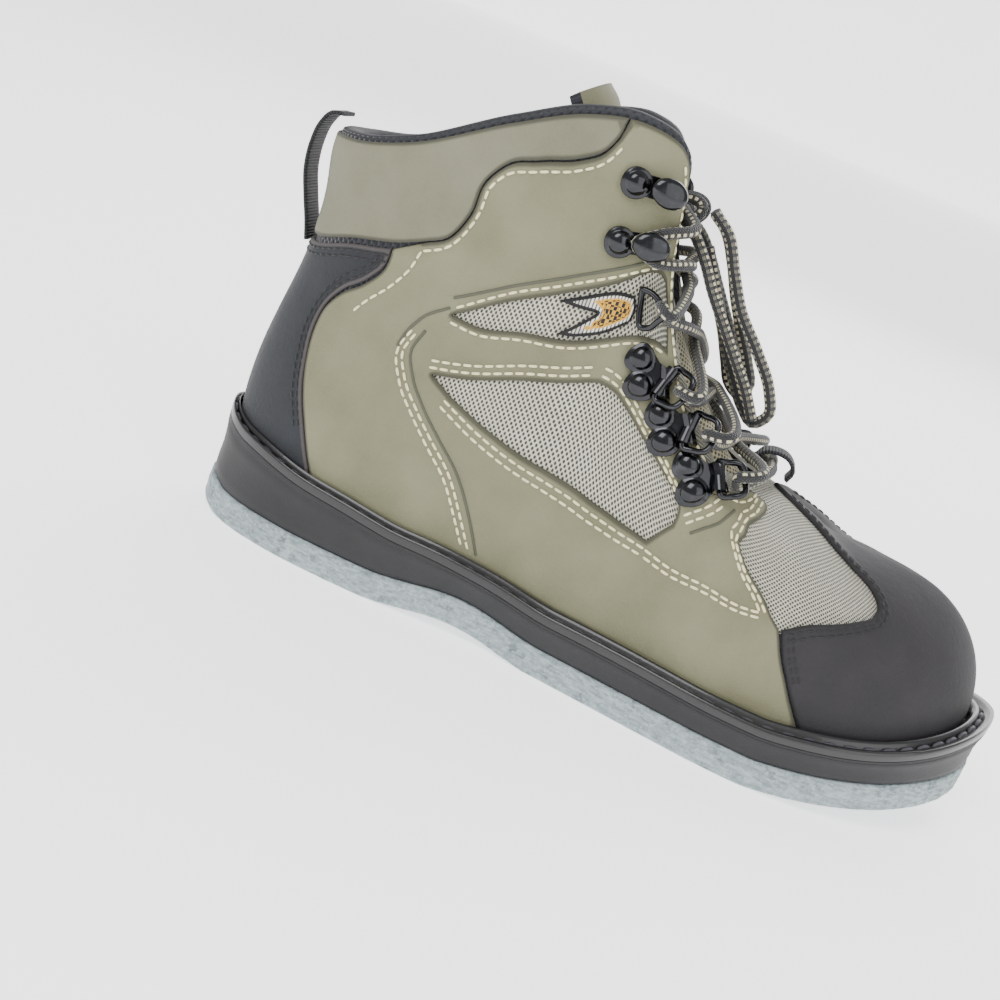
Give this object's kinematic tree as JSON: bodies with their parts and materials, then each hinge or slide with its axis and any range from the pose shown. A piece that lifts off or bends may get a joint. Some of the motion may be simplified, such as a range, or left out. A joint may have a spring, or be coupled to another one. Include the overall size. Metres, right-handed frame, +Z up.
{
  "type": "wading boot",
  "caption": "Ankle-high laced wading boot for a right foot: hollow mesh and nubuck upper, D-ring and hook lacing with a bow, welted midsole and a flat felt outsole.",
  "frame": {"origin": "middle of the heel's flat spot, where the felt meets the floor", "axes": "+X towards the toe, +Y towards the inner (medial) side, +Z up"},
  "size_m": [0.3182, 0.1153, 0.204],
  "materials": {
    "felt": "pressed blue-grey wool felt",
    "midsole_rubber": "matt moulded rubber",
    "welt_rubber": "satin rubber",
    "footbed": "knitted cover on foam",
    "mesh": "knitted open mesh",
    "nubuck": "olive synthetic nubuck",
    "toe_nubuck": "charcoal synthetic nubuck",
    "heel_nubuck": "navy-grey synthetic nubuck",
    "metal": "glossy gunmetal lacquer",
    "webbing": "woven webbing, yellow middle with black and white edges",
    "black_webbing": "black woven webbing",
    "lace": "round braided lace, black with cream flecks"
  },
  "bodies": {
    "root": {"felt_outsole": "felt", "midsole": "midsole_rubber", "welt": "welt_rubber", "insole": "footbed", "upper": "mesh", "toe_cap": "toe_nubuck", "heel_counter": "heel_nubuck", "collar_cuff": "nubuck", "quarter_lateral": "nubuck", "quarter_medial": "nubuck", "tongue": "mesh", "pull_loop": "black_webbing", "toe_loop": "black_webbing", "lace_plate_lateral_1": "metal", "lace_ring_lateral_1": "metal", "lace_plate_lateral_2": "metal", "lace_ring_lateral_2": "metal", "lace_plate_lateral_3": "metal", "lace_ring_lateral_3": "metal", "lace_hook_lateral_lower": "metal", "lace_hook_lateral_upper": "metal", "web_strap_lateral": "webbing", "web_ring_lateral": "metal", "lace_plate_medial_1": "metal", "lace_ring_medial_1": "metal", "lace_plate_medial_2": "metal", "lace_ring_medial_2": "metal", "lace_plate_medial_3": "metal", "lace_ring_medial_3": "metal", "lace_hook_medial_lower": "metal", "lace_hook_medial_upper": "metal", "web_strap_medial": "webbing", "web_ring_medial": "metal", "lace_cross_1": "lace", "lace_cross_2": "lace", "lace_cross_3": "lace", "lace_cross_4": "lace", "lace_cross_5": "lace", "lace_lead_lateral": "lace", "lace_lead_medial": "lace", "lace_knot": "lace", "lace_loop_lateral": "lace", "lace_loop_medial": "lace", "lace_end_lateral": "lace", "lace_end_medial": "lace"}
  },
  "joints": []
}
